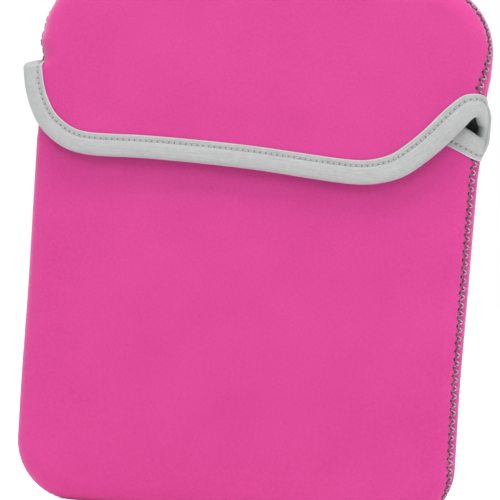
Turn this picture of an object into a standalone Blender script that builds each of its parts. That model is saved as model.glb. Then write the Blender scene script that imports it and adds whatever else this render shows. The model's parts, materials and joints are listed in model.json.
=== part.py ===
"""A neoprene laptop sleeve: a pocket, a hood over its mouth, and the hood's overlapping flap.

Metres, +Z up. The sleeve stands upright with its front towards -Y, and its origin is under the middle
of its box. Every panel is a laminate of three plies: an outer jersey, a foam core and a lining. The
front and back panels meet edge to edge at the seam plane, where a zigzag thread joins them.

Three parts move. The pocket stands still. The hood folds backwards at a crease across the back panel,
and the flap, which is the free lip of the hood's front, folds up at a crease across the hood.
"""

import math

import bmesh
import bpy
from mathutils import Vector

# Outline of the sleeve, seen from the front.
HEIGHT = 0.275
BASE_HALF_WIDTH = 0.1115
TAPER = 0.0025  # the sleeve widens by this much on each side between its base and its flap crease
BOTTOM_CORNER = 0.030
TOP_CORNER = 0.033

# Levels of the mouth.
CREASE_Z = 0.220  # the flap's crease, where the hood's side seams end
FOLD_Z = 0.2045  # the hood's crease across the back panel
LIP_TOP = FOLD_Z - 0.002
LIP_CORNER = 0.016
SEAM_TOP = LIP_TOP - LIP_CORNER  # where the pocket's side seams end
HINGE_CLEARANCE = 0.0005  # each crease turns about a line this far outside its panel

# How far each panel's outer face stands from the seam plane, and how wide its rolled edge is.
POCKET_DEPTH = 0.010
LIP_DEPTH = 0.0085
BACK_DEPTH = 0.011
HOOD_DEPTH = 0.0152
POCKET_ROLL = 0.010
HOOD_ROLL = 0.012
LIP_DIP_START = 0.160

# The laminate. Touching pieces keep a gap.
GAP = 0.0003
JERSEY = 0.0005
FOAM = 0.0020
LAMINATE = 2 * JERSEY + FOAM + 2 * GAP
THREAD_CHANNEL = 0.0026  # the outer jersey stops this far short of the seam plane

# Folded binding tape round the mouth.
TAPE = 0.0006
TAPE_GAP = 0.0005
TAPE_WIDTH = 0.012
TAPE_REACH = LAMINATE / 2 + TAPE_GAP

# Threads.
SEAM_THREAD = 0.0003  # radius
ZIGZAG_PITCH = 0.0042
ZIGZAG_SWING = 0.0021
LOCK_THREAD = 0.0002  # radius
STITCH_INSET = 0.0092  # from the bound edge to the stitch line
THREAD_GAP = 0.0001

# The flap: half the length of its crease, and its edge as (x, z) from left to right.
FLAP_CREASE_HALF = 0.109
FLAP_FLARE = 0.014
FLAP_EDGE = [
    (-0.1165, 0.207),
    (-0.1145, 0.194),
    (-0.108, 0.1845),
    (-0.099, 0.179),
    (-0.086, 0.1765),
    (-0.050, 0.1765),
    (0.000, 0.1750),
    (0.040, 0.1723),
    (0.062, 0.1723),
    (0.076, 0.177),
    (0.088, 0.187),
    (0.099, 0.198),
    (0.106, 0.205),
    (0.1115, 0.211),
]

# The tape's loops at the ends of the mouth.
LOOP_RADIUS = 0.0323
LOOP_CENTRE_X = 0.087
LOOP_THICKNESS = 0.0018
LOOP_HALF_ANGLE = math.radians(28)
LOOP_FRONT = -0.005
LOOP_BACK = 0.006

# The seam plane's place, which centres the whole sleeve over the origin.
FRONT_REACH = HOOD_DEPTH - LAMINATE / 2 + TAPE_REACH + TAPE + THREAD_GAP + 2 * LOCK_THREAD
SEAM_Y = (FRONT_REACH - BACK_DEPTH) / 2

FRONT = -1
BACK = 1

# Columns of a panel, as shares of its half width, closer together round its rolled edges.
COLUMNS = [-1, -0.993, -0.974, -0.946, -0.905, 0, 0.905, 0.946, 0.974, 0.993, 1]
CORNER_STEPS = 6

# Name, outer offset, inner offset and distance of the rim from the seam plane, for each ply.
PLIES = [
    ("outer_jersey", 0, JERSEY, THREAD_CHANNEL),
    ("foam_core", JERSEY + GAP, JERSEY + GAP + FOAM, GAP / 2),
    ("lining", LAMINATE - JERSEY, LAMINATE, GAP / 2),
]

MATERIALS = {
    "outer_jersey": ((0.78, 0.09, 0.33), 0.75),
    "foam_core": ((0.05, 0.05, 0.055), 0.9),
    "lining": ((0.06, 0.06, 0.065), 0.8),
    "binding": ((0.55, 0.55, 0.56), 0.65),
    "seam_thread": ((0.06, 0.06, 0.07), 0.45),
    "lock_thread": ((0.50, 0.50, 0.51), 0.5),
}


def clamp(value):
    return max(0.0, min(1.0, value))


def smooth(value):
    share = clamp(value)
    return share * share * (3 - 2 * share)


def mix(a, b, share):
    return a + (b - a) * share


def own_material(obj, kind):
    """Gives a piece a Principled material of its own, in its kind's colour and roughness."""
    colour, roughness = MATERIALS[kind]
    made = bpy.data.materials.new(obj.name + "_material")
    made.use_nodes = True
    shader = made.node_tree.nodes["Principled BSDF"]
    shader.inputs["Base Color"].default_value = (*colour, 1)
    shader.inputs["Roughness"].default_value = roughness
    shader.inputs["Metallic"].default_value = 0
    obj.data.materials.append(made)


# ---------------------------------------------------------------- outline


def half_width(z):
    return BASE_HALF_WIDTH + TAPER * clamp(z / CREASE_Z)


def edge_distance(x, z):
    """How far inside the sleeve's outline a point lies."""
    side = half_width(z) - abs(x)
    nearest = side
    for corner, height in ((BOTTOM_CORNER, z), (TOP_CORNER, HEIGHT - z)):
        if side < corner and height < corner:
            return corner - math.hypot(corner - side, corner - height)
        nearest = min(nearest, height)
    return nearest


def row_height(z, offset):
    """The height of a panel's row on the outline drawn in by offset."""
    if z < BOTTOM_CORNER:
        return BOTTOM_CORNER - (BOTTOM_CORNER - z) * (1 - offset / BOTTOM_CORNER)
    top = HEIGHT - TOP_CORNER
    if z > top:
        return top + (z - top) * (1 - offset / TOP_CORNER)
    return z


def row_half_width(z, offset):
    """Half the width of that row."""
    width = half_width(z) - offset
    for corner, height in ((BOTTOM_CORNER, z), (TOP_CORNER, HEIGHT - z)):
        if height < corner:
            reach = corner - offset
            rise = min(corner - height, reach)
            width -= reach - math.sqrt(reach * reach - rise * rise)
    return width


def lip_half_width(z):
    """The front panel's half width, which its rounded upper corners narrow."""
    rise = z - SEAM_TOP
    if rise <= 0:
        return half_width(z)
    rise = min(rise, LIP_CORNER)
    return half_width(z) - LIP_CORNER + math.sqrt(LIP_CORNER**2 - rise**2)


def rolled(distance, depth, roll, offset, rim):
    """How far a ply stands from the seam plane: full depth inside, rolled down to its rim at the edge."""
    inner = depth - offset
    share = clamp((distance - offset) / (roll - offset))
    cosine = math.sqrt(1 - (rim / inner) ** 2) * (1 - share)
    return inner * math.sqrt(1 - cosine * cosine)


def pocket_depth(z):
    """The front panel dips towards its lip, which lies under the flap."""
    return mix(POCKET_DEPTH, LIP_DEPTH, smooth((z - LIP_DIP_START) / (SEAM_TOP - LIP_DIP_START)))


def front_y(x, z, offset, rim):
    return SEAM_Y - rolled(edge_distance(x, z), pocket_depth(z), POCKET_ROLL, offset, rim)


def flap_y(x, _z, offset, rim):
    """The flap lies nearly flat, and flares out past the hood's sides."""
    distance = half_width(CREASE_Z) + FLAP_FLARE - abs(x)
    return SEAM_Y - rolled(distance, HOOD_DEPTH, HOOD_ROLL, offset, rim)


def curve_through(points, count):
    """Points at even steps along a smooth curve through the given ones."""
    ends = [points[0], *points, points[-1]]
    made = []
    for i in range(count):
        place = i * (len(points) - 1) / (count - 1)
        k = min(int(place), len(points) - 2)
        t = place - k
        before, a, b, after = ends[k : k + 4]
        made.append(
            tuple(
                0.5
                * (2 * q + (r - p) * t + (2 * p - 5 * q + 4 * r - s) * t**2 + (3 * q - p - 3 * r + s) * t**3)
                for p, q, r, s in zip(before, a, b, after)
            )
        )
    return made


# ---------------------------------------------------------------- solids


def new_object(name, mesh, kind, collection):
    obj = bpy.data.objects.new(name, mesh)
    collection.objects.link(obj)
    own_material(obj, kind)
    return obj


def shell(name, columns, rows, outer, inner, kind, collection):
    """A closed sheet between two grids: outer(i, j) and inner(i, j) give the points of column i, row j."""
    bm = bmesh.new()
    sides = []
    for place in (outer, inner):
        grid = bmesh.ops.create_grid(bm, x_segments=columns, y_segments=rows, size=1)["verts"]
        for vertex in grid:
            i = round((vertex.co.x + 1) / 2 * columns)
            j = round((vertex.co.y + 1) / 2 * rows)
            vertex.co = place(i, j)
        sides.append(grid)
    partner = dict(zip(sides[0], sides[1]))
    for edge in [e for e in bm.edges if e.is_boundary and e.verts[0] in partner]:
        a, b = edge.verts
        bm.faces.new((a, b, partner[b], partner[a]))
    bmesh.ops.recalc_face_normals(bm, faces=bm.faces)
    mesh = bpy.data.meshes.new(name)
    bm.to_mesh(mesh)
    bm.free()
    mesh.shade_smooth()
    mesh.set_sharp_from_angle(angle=math.radians(50))
    return new_object(name, mesh, kind, collection)


def tube(name, points, radius, kind, collection):
    """A thread through the given points."""
    curve = bpy.data.curves.new(name, "CURVE")
    curve.dimensions = "3D"
    curve.bevel_depth = radius
    curve.bevel_resolution = 0
    curve.use_fill_caps = True
    spline = curve.splines.new("POLY")
    spline.points.add(len(points) - 1)
    for target, point in zip(spline.points, points):
        target.co = (*point, 1)
    return new_object(name, curve, kind, collection)


def corner_rows(start, end):
    """Heights from start to end, with even steps of angle round the sleeve's corners."""
    turns = [1 - math.cos(math.pi / 2 * k / CORNER_STEPS) for k in range(CORNER_STEPS + 1)]
    heights = [BOTTOM_CORNER * t for t in turns] + [HEIGHT - TOP_CORNER * t for t in turns]
    inside = sorted(h for h in heights if start < h < end)
    return [start, *inside, end]


def panel(name, side, rows, depth_of, roll, collection, width_limit=None):
    """The three plies of a front or back panel, whose edge rolls down to the seam plane."""

    def ply_point(offset, rim):
        def place(i, j):
            z = row_height(rows[j], offset)
            width = row_half_width(z, offset)
            if width_limit:
                width = min(width, width_limit(z))
            x = COLUMNS[i] * width
            return Vector((x, SEAM_Y + side * rolled(edge_distance(x, z), depth_of(z), roll, offset, rim), z))

        return place

    for ply, outer, inner, rim in PLIES:
        shell(
            f"{name}_{ply}",
            len(COLUMNS) - 1,
            len(rows) - 1,
            ply_point(outer, rim),
            ply_point(inner, rim),
            ply,
            collection,
        )


def flap(collection):
    """The three plies of the flap, from its crease down to its curved edge."""
    columns = 2 * (len(FLAP_EDGE) - 1)
    rows = 2
    edge = curve_through(FLAP_EDGE, columns + 1)
    first = edge[0][0]
    span = edge[-1][0] - first

    def ply_point(offset, rim):
        def place(i, j):
            edge_x, edge_z = edge[i]
            crease_x = FLAP_CREASE_HALF * (2 * (edge_x - first) / span - 1)
            x = mix(crease_x, edge_x, j / rows)
            z = mix(CREASE_Z - GAP / 2, edge_z, j / rows)
            return Vector((x, flap_y(x, z, offset, rim), z))

        return place

    for ply, outer, inner, rim in PLIES:
        shell(f"flap_{ply}", columns, rows, ply_point(outer, rim), ply_point(inner, rim), ply, collection)


# ---------------------------------------------------------------- binding


def surface_frame(surface, x, z):
    """The laminate's middle point over (x, z), its outward normal, and its slopes along x and z."""
    step = 0.0001

    def height(px, pz):
        return surface(px, pz, LAMINATE / 2, GAP / 2)

    slope_x = (height(x + step, z) - height(x - step, z)) / (2 * step)
    slope_z = (height(x, z + step) - height(x, z - step)) / (2 * step)
    normal = Vector((slope_x, -1, slope_z)).normalized()
    return Vector((x, height(x, z), z)), normal, slope_x, slope_z


def edge_point(surface, path, i, inset, lift):
    """A point inset from a bound edge's station i, and lift out from the laminate's middle.
    A negative inset lies past the edge."""
    x, z = path[i]
    ahead = path[min(i + 1, len(path) - 1)]
    behind = path[max(i - 1, 0)]
    run = Vector((ahead[0] - behind[0], ahead[1] - behind[1])).normalized()
    inward = Vector((-run.y, run.x))
    if inset > 0:
        x += inward.x * inset
        z += inward.y * inset
        inset = 0
    middle, normal, slope_x, slope_z = surface_frame(surface, x, z)
    across = Vector((inward.x, slope_x * inward.x + slope_z * inward.y, inward.y)).normalized()
    return middle + normal * lift + across * inset


def binding(name, surface, path, collection):
    """Tape folded over an edge: down the outer face, round the edge and down the inner face."""
    profile = [(1, 1), (0.5, 1), (0, 1), (0, 0), (0, -1), (0.5, -1), (1, -1)]

    def tape_point(reach, tip):
        def place(i, j):
            inset, lift = profile[j]
            if lift == 0:
                return edge_point(surface, path, i, -tip, 0)
            return edge_point(surface, path, i, inset * TAPE_WIDTH, lift * reach)

        return place

    shell(
        name,
        len(path) - 1,
        len(profile) - 1,
        tape_point(TAPE_REACH + TAPE, TAPE_GAP + TAPE),
        tape_point(TAPE_REACH, TAPE_GAP),
        "binding",
        collection,
    )
    lift = TAPE_REACH + TAPE + THREAD_GAP + LOCK_THREAD
    stations = range(1, len(path) - 1)
    for thread, side in (("needle_thread", 1), ("bobbin_thread", -1)):
        points = [edge_point(surface, path, i, STITCH_INSET, side * lift) for i in stations]
        tube(f"{name}_{thread}", points, LOCK_THREAD, "lock_thread", collection)


def lip_path(count):
    """The front panel's free edge from right to left, over its two rounded corners."""
    start = math.radians(62)
    steps = 5
    arc = [start + (math.pi / 2 - start) * k / steps for k in range(steps + 1)]
    corner = half_width(SEAM_TOP) - LIP_CORNER
    right = [(corner + LIP_CORNER * math.cos(a), SEAM_TOP + LIP_CORNER * math.sin(a)) for a in arc]
    middle = [(mix(corner, -corner, k / count), LIP_TOP) for k in range(1, count)]
    left = [(-x, z) for x, z in reversed(right)]
    return right + middle + left


def flap_path():
    """The flap's free edge from left to right, between the ends of its crease."""
    ends_z = CREASE_Z - 0.0008
    left = (-FLAP_CREASE_HALF - 0.0005, ends_z)
    right = (FLAP_CREASE_HALF + 0.0005, ends_z)
    return [left, *curve_through(FLAP_EDGE, 2 * len(FLAP_EDGE) - 1), right]


def corner_loop(name, side, start, end, collection):
    """Half of the tape's loop at one end of the mouth, as a curved band."""
    steps = 5

    def band_point(radius):
        def place(i, j):
            angle = mix(start, end, i / steps)
            x = side * (LOOP_CENTRE_X + radius * math.cos(angle))
            z = FOLD_Z + radius * math.sin(angle)
            return Vector((x, SEAM_Y + (LOOP_FRONT, LOOP_BACK)[j], z))

        return place

    outer = LOOP_RADIUS + LOOP_THICKNESS / 2
    inner = LOOP_RADIUS - LOOP_THICKNESS / 2
    shell(name, steps, 1, band_point(outer), band_point(inner), "binding", collection)


# ---------------------------------------------------------------- seams


def seam_line(corner, level, first, sign, inset, spacing):
    """Evenly spaced (x, z) points from one side seam's end, round two corners, to the other's.
    first is the height of the ends, level the outline's height there, and sign the way to its middle."""
    reach = corner - inset
    centre_z = level - sign * corner
    steps = 18
    right = [(half_width(first) - inset, first)]
    width = half_width(centre_z)
    for k in range(steps + 1):
        angle = math.pi / 2 * k / steps
        right.append((width - corner + reach * math.cos(angle), centre_z + sign * reach * math.sin(angle)))
    line = right + [(-x, z) for x, z in reversed(right)]
    lengths = [0]
    for a, b in zip(line, line[1:]):
        lengths.append(lengths[-1] + math.dist(a, b))
    count = round(lengths[-1] / spacing)
    made = []
    k = 0
    for i in range(count + 1):
        wanted = lengths[-1] * i / count
        while k < len(line) - 2 and lengths[k + 1] < wanted:
            k += 1
        share = (wanted - lengths[k]) / (lengths[k + 1] - lengths[k])
        made.append((mix(line[k][0], line[k + 1][0], share), mix(line[k][1], line[k + 1][1], share)))
    return made


def seam_threads(name, corner, level, first, sign, collection):
    """The zigzag thread in the channel over the butted edges, and the thread that locks it inside."""
    outer_inset = JERSEY + GAP - THREAD_GAP - SEAM_THREAD
    line = seam_line(corner, level, first, sign, outer_inset, ZIGZAG_PITCH / 2)
    zigzag = [(x, SEAM_Y + ZIGZAG_SWING * (-1) ** i, z) for i, (x, z) in enumerate(line)]
    tube(f"{name}_outer_thread", zigzag, SEAM_THREAD, "seam_thread", collection)
    inner_inset = LAMINATE + 2 * GAP + SEAM_THREAD
    line = seam_line(corner, level, first, sign, inner_inset, 3 * ZIGZAG_PITCH)
    tube(f"{name}_inner_thread", [(x, SEAM_Y, z) for x, z in line], SEAM_THREAD, "seam_thread", collection)


# ---------------------------------------------------------------- the sleeve


def crease_empty(name, y, z, collection):
    """An empty on a crease's axis, which the pieces that turn about it are parented to."""
    empty = bpy.data.objects.new(name, None)
    empty.location = (0, y, z)
    collection.objects.link(empty)
    return empty


def attach(prefixes, empty, collection):
    """The pieces whose names start so are parented to the empty, and stay where they are."""
    for obj in list(collection.objects):
        if obj.type != "EMPTY" and obj.name.startswith(prefixes):
            obj.parent = empty
            obj.matrix_parent_inverse = empty.matrix_world.inverted()


def main():
    for obj in list(bpy.data.objects):
        bpy.data.objects.remove(obj)
    sleeve = bpy.data.collections.new("laptop_sleeve")
    bpy.context.scene.collection.children.link(sleeve)

    def back_depth(_z):
        return BACK_DEPTH

    def hood_depth(_z):
        return HOOD_DEPTH

    lip_rows = [SEAM_TOP + LIP_CORNER * math.sin(math.radians(a)) for a in (0, 25, 55, 90)]
    front_rows = corner_rows(0, LIP_DIP_START) + [(LIP_DIP_START + SEAM_TOP) / 2] + lip_rows
    panel("front_panel", FRONT, front_rows, pocket_depth, POCKET_ROLL, sleeve, lip_half_width)
    panel("back_panel_lower", BACK, corner_rows(0, FOLD_Z - GAP / 2), back_depth, POCKET_ROLL, sleeve)
    panel("back_panel_upper", BACK, corner_rows(FOLD_Z + GAP / 2, HEIGHT), back_depth, POCKET_ROLL, sleeve)
    panel("hood_panel", FRONT, corner_rows(CREASE_Z + GAP / 2, HEIGHT), hood_depth, HOOD_ROLL, sleeve)
    flap(sleeve)

    binding("front_lip_binding", front_y, lip_path(14), sleeve)
    binding("flap_binding", flap_y, flap_path(), sleeve)
    split = math.radians(0.6)
    for word, side in (("left", -1), ("right", 1)):
        corner_loop(f"corner_loop_{word}_lower", side, -LOOP_HALF_ANGLE, -split, sleeve)
        corner_loop(f"corner_loop_{word}_upper", side, split, LOOP_HALF_ANGLE, sleeve)

    seam_threads("pocket_seam", BOTTOM_CORNER, 0, SEAM_TOP, -1, sleeve)
    seam_threads("hood_seam", TOP_CORNER, HEIGHT, CREASE_Z + 0.001, 1, sleeve)

    hood_crease = crease_empty("hood_crease", SEAM_Y + BACK_DEPTH + HINGE_CLEARANCE, FOLD_Z, sleeve)
    flap_crease = crease_empty("flap_crease", SEAM_Y - HOOD_DEPTH - HINGE_CLEARANCE, CREASE_Z, sleeve)
    bpy.context.view_layer.update()
    flap_crease.parent = hood_crease
    flap_crease.matrix_parent_inverse = hood_crease.matrix_world.inverted()
    hood_pieces = (
        "back_panel_upper",
        "hood_panel",
        "hood_seam",
        "corner_loop_left_upper",
        "corner_loop_right_upper",
    )
    attach(hood_pieces, hood_crease, sleeve)
    attach(("flap_",), flap_crease, sleeve)


main()
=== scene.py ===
"""The looks of a neoprene laptop sleeve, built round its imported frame.

The sleeve is one rolled surface: a front and a back with the same outline, whose edges roll towards each
other. Panels, seams and tape are laid out on that surface unrolled flat, as (x, z), and rolled_point()
brings them to their place. Lengths are in metres, angles in radians.
"""

import json
import math

import bpy
import numpy as np
from mathutils import Matrix, Vector


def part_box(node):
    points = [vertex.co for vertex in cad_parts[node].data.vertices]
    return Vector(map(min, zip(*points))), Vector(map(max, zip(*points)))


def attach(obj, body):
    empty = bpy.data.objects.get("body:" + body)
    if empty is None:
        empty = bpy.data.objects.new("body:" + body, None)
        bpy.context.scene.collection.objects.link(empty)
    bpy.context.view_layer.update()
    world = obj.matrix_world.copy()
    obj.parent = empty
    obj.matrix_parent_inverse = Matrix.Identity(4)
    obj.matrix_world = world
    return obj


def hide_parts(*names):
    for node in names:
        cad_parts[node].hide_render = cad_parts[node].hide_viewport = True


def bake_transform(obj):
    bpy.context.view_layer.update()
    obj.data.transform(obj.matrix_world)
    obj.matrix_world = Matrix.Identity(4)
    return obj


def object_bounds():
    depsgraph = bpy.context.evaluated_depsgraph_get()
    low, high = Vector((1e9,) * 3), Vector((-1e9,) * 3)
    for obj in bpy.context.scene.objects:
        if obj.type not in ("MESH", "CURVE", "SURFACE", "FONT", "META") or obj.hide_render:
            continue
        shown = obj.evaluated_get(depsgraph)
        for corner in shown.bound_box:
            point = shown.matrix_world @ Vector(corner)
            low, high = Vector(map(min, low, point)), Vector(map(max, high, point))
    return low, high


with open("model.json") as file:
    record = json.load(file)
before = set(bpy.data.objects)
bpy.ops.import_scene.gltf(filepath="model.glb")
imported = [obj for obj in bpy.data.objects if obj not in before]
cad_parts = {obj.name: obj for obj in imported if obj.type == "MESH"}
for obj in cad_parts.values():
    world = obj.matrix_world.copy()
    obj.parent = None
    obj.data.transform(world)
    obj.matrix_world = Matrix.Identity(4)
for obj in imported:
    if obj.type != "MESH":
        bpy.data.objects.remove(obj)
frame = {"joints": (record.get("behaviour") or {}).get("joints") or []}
CAD_LOW, CAD_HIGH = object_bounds()
JOINTS = {joint["name"]: joint for joint in frame["joints"]}

# ---------------- sizes, from the frame

HEIGHT = CAD_HIGH.z
FOLD_Z = JOINTS["hood_fold"]["pos_m"][2]
CREASE_Z = JOINTS["flap_fold"]["pos_m"][2]
SEAM_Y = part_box("front_panel_foam_core")[1].y + 0.00015
POCKET_DEPTH = SEAM_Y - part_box("front_panel_outer_jersey")[0].y
BACK_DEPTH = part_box("back_panel_lower_outer_jersey")[1].y - SEAM_Y
HOOD_DEPTH = SEAM_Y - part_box("hood_panel_outer_jersey")[0].y
HALF_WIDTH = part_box("hood_panel_outer_jersey")[1].x

TAPER = 0.0025  # the base is narrower than the hood by this much on each side
BOTTOM_CORNER = 0.030
TOP_CORNER = 0.033
ROLL = 0.011  # how far in from the outline the edge's roll starts
UNROLLED = ROLL * (math.pi / 2 - 1)  # how much wider the unrolled outline is
LIP_DEPTH = 0.0085
LOOP = 0.0015  # how far the right side stands out beside the mouth
TAPE_FOOT = 0.0122  # the tape's width on each face
TAPE_THICK = 0.0006
TAPE_GAP = 0.00015  # between the tape and the jersey under it
TAPE_FOLD = 0.0020  # the fold stands out this far past the panel's edge
LAMINATE = 0.0036
JERSEY = 0.0006
LINING = 0.0006
MOUTH_LOW, MOUTH_HIGH = 0.1865, 0.2195  # between them the back's right edge is free
POCKET_TOP = 0.1955  # where the pocket's front ends, inside the tape's fold
POCKET_SEAM_TOP = 0.1895
HOOD_SEAM_BASE = 0.2215
RING_ANGLE = 2  # degrees round the roll at which the back's free edge lies

SWING = 0.0026  # half the zigzag's width
ZIGZAG_PITCH = 0.0042
SEAM_THREAD = 0.00038  # the radius of the thread
INNER_PITCH = 0.0026  # of the stitches that lock the zigzag inside
LOCK_PITCH = 0.0029
LOCK_THREAD = 0.00022
STITCH_IN = 0.0093  # from the bound edge to the lockstitch

ROW_STEP = 0.0011  # between a panel's rows of points
PATH_STEP = 0.00065  # between a tape's stations
DEGREE = math.pi / 180
SHARP = math.radians(60)  # edges at more than this angle are shaded sharp

# ---------------- camera


def aim_camera():
    """A long lens, a little to the right of straight on, turned so that the sleeve leans to the right."""
    azimuth, elevation, lean = 5 * DEGREE, 1.5 * DEGREE, 4.1 * DEGREE
    distance, width = 1.9, 0.2545  # the target's distance, and how much of it the picture takes in
    target = Vector((0.0000, SEAM_Y, 0.1339))
    level = math.cos(elevation)
    back = Vector((math.sin(azimuth) * level, -math.cos(azimuth) * level, math.sin(elevation)))
    right = (-back).cross(Vector((0, 0, 1))).normalized()
    up = right.cross(-back)
    turned_up = up * math.cos(lean) - right * math.sin(lean)
    turned_right = right * math.cos(lean) + up * math.sin(lean)
    camera = bpy.data.objects.new("camera", bpy.data.cameras.new("camera"))
    camera.data.sensor_width = 36
    camera.data.lens = 36 * distance / width
    camera.data.clip_end = 20
    camera.matrix_world = Matrix((turned_right, turned_up, back)).transposed().to_4x4()
    camera.location = target + back * distance
    bpy.context.scene.collection.objects.link(camera)
    bpy.context.scene.camera = camera


aim_camera()


def smooth(value):
    """An eased step from 0 at 0 to 1 at 1."""
    share = np.clip(value, 0, 1)
    return share * share * (3 - 2 * share)


def bump(value):
    """A bell of height 1 at 0."""
    return np.exp(-value * value)


def mix(a, b, share):
    """From a at share 0 to b at share 1."""
    return a + (b - a) * share


def lengths_along(line):
    """How far along a line of points each one lies."""
    return np.concatenate([[0], np.cumsum(np.linalg.norm(np.diff(line, axis=0), axis=1))])


def read_along(at, gone, values):
    """Rows of values along a line, read at other lengths than the ones where they are known."""
    return np.stack([np.interp(at, gone, column) for column in values.T], 1)


def unit(ways):
    """Vectors in an array's last axis, made one long."""
    return ways / np.maximum(np.linalg.norm(ways, axis=-1, keepdims=True), 1e-12)


# ---------------- the rolled surface


def half_width(z, loop=0):
    """The outline's half width. loop is how far it stands out round the mouth's ends."""
    width = HALF_WIDTH - TAPER * (1 - np.clip(z / CREASE_Z, 0, 1))
    return width + 0.0006 * bump((z - 0.238) / 0.016) + loop * bump((z - FOLD_Z - 0.0015) / 0.009)


def side_width(x, z, loop=0):
    """The outline's half width on the side where x lies. The hood sits a little right of the pocket."""
    right = 0.0011 * smooth((z - 0.02) / 0.06) * smooth((0.196 - z) / 0.02)
    right = right - 0.0010 * smooth((z - 0.218) / 0.014)
    left = 0.0009 * smooth((z - 0.05) / 0.07) * smooth((0.212 - z) / 0.010)
    left = left + 0.0023 * smooth((z - 0.2165) / 0.0095) - 0.0017 * bump((z - 0.2330) / 0.0048)
    left = left + 0.0020 * smooth((z - 0.240) / 0.016)
    trim = np.where(x > 0, right, left)
    return half_width(z, np.where(x > 0, loop, 0)) - trim


def outline_frame(x, z, loop=0):
    """How far inside the unrolled outline each point is, and the way out, as (x, z)."""
    side = side_width(x, z, loop) + UNROLLED - np.abs(x)
    way = np.where(x < 0, -1.0, 1.0)
    nearest, out_x, out_z = side, way, np.zeros_like(side)
    for corner, height, up in (
        (BOTTOM_CORNER, z + UNROLLED, -1),
        (TOP_CORNER, HEIGHT + UNROLLED - z, 1),
    ):
        reach = corner + UNROLLED
        level = height < nearest
        nearest = np.where(level, height, nearest)
        out_x = np.where(level, 0.0, out_x)
        out_z = np.where(level, up, out_z)
        past, below = reach - side, reach - height
        far = np.hypot(past, below)
        cornered = (past > 0) & (below > 0)
        nearest = np.where(cornered, reach - far, nearest)
        out_x = np.where(cornered, way * past / np.maximum(far, 1e-9), out_x)
        out_z = np.where(cornered, up * below / np.maximum(far, 1e-9), out_z)
    return nearest, out_x, out_z


def roll(inside):
    """The angle round the rolled edge, and the move along the way out, by the distance inside."""
    angle = np.clip(inside / ROLL, -math.pi / 2, math.pi / 2)
    drawn = ROLL * (1 - np.cos(angle)) + np.maximum(np.abs(inside) - ROLL * math.pi / 2, 0)
    return angle, inside - UNROLLED - drawn


def rolled_point(x, z, front, loop=0, flat=0, puff=0):
    """The place of unrolled points. front is the front's depth there. flat unrolls them again."""
    inside, out_x, out_z = outline_frame(x, z, loop)
    angle, shift = roll(inside)
    lift = np.where(angle > 0, -front, -BACK_DEPTH) * np.sin(angle)
    rolled = (x + out_x * shift, SEAM_Y + lift - puff, z + out_z * shift)
    spread = np.clip((np.abs(x) - 0.098) / 0.024, 0, 1.3)
    unrolled = (x, SEAM_Y - front + 0.0065 * spread**2, z)
    return np.stack([mix(a, b, flat) for a, b in zip(rolled, unrolled)], -1)


def front_depth(z):
    """How far the front stands from the seam's plane: less at the lip, and more at the hood."""
    dip = mix(POCKET_DEPTH, LIP_DEPTH, smooth((z - 0.150) / 0.037))
    return mix(dip, HOOD_DEPTH, smooth((z - 0.2015) / 0.0095))


def pocket_front(x, z):
    """The front under the flap, the sides of the mouth, and both sides of the seams."""
    return rolled_point(x, z, front_depth(z), loop=LOOP)


def hood_front(x, z, top=0.0020):
    """The hood and the flap. The flap's left end lies flat and stands out, to top above its crease."""
    left = smooth((-x - 0.080) / 0.025)
    flat = left * smooth((CREASE_Z + top - z) / 0.0035)
    lift = 0.0008 * smooth((0.192 - z) / 0.02)
    loop = LOOP * smooth((x - 0.09) / 0.01)
    return rolled_point(x, z, HOOD_DEPTH, loop=loop, flat=flat, puff=lift)


def normals_of(surface, x, z):
    """Unit normals out of the front at unrolled points."""
    step = 0.00015
    along = surface(x + step, z) - surface(x - step, z)
    up = surface(x, z + step) - surface(x, z - step)
    return unit(np.cross(along, up))


# ---------------- where the seams run


def seam_angle(x, z):
    """How far round the rolled edge, from the outline towards the front, the panels meet."""
    rise = smooth((z - 0.004) / 0.042)
    right = mix(mix(-8, 16, smooth((x - 0.04) / 0.05)), 39, smooth(z / 0.036))
    right = mix(right, 27, bump((z - 0.2065) / 0.006))
    top = mix(4, 26, smooth((x - 0.03) / 0.06))
    right = mix(right, mix(50, top, smooth((z - 0.222) / 0.024)), smooth((z - 0.2085) / 0.006))
    left = mix(-8, -22, rise)
    left = mix(left, 4, smooth((z - 0.203) / 0.018))
    return np.where(x > 0, right, left) * DEGREE


def back_angle(x, z):
    """How far round the rolled edge the back reaches. Beside the mouth its right edge is free."""
    free = np.where(x > 0, smooth((z - MOUTH_LOW) / 0.004) * smooth((MOUTH_HIGH - z) / 0.0035), 0)
    return mix(seam_angle(x, z), RING_ANGLE * DEGREE, free)


def to_seam(x, z, side):
    """Moves canonical points, laid out to the unrolled outline, so that their edge lies on the seam."""
    inside, out_x, out_z = outline_frame(x, z)
    angle = seam_angle(x, z) if side > 0 else back_angle(x, z)
    shift = side * ROLL * angle * np.clip(1 - inside / 0.028, 0, 1) ** 2
    return x - out_x * shift, z - out_z * shift


def canonical_half_width(x, z):
    """The unrolled outline's half width at each height, corners included, on the side where x lies."""
    width = side_width(x, z) + UNROLLED
    for corner, height in ((BOTTOM_CORNER, z + UNROLLED), (TOP_CORNER, HEIGHT + UNROLLED - z)):
        reach = corner + UNROLLED
        below = np.clip(reach - height, 0, reach)
        width = width - reach + np.sqrt(np.maximum(reach * reach - below * below, 0))
    return width


# ---------------- meshes


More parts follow.
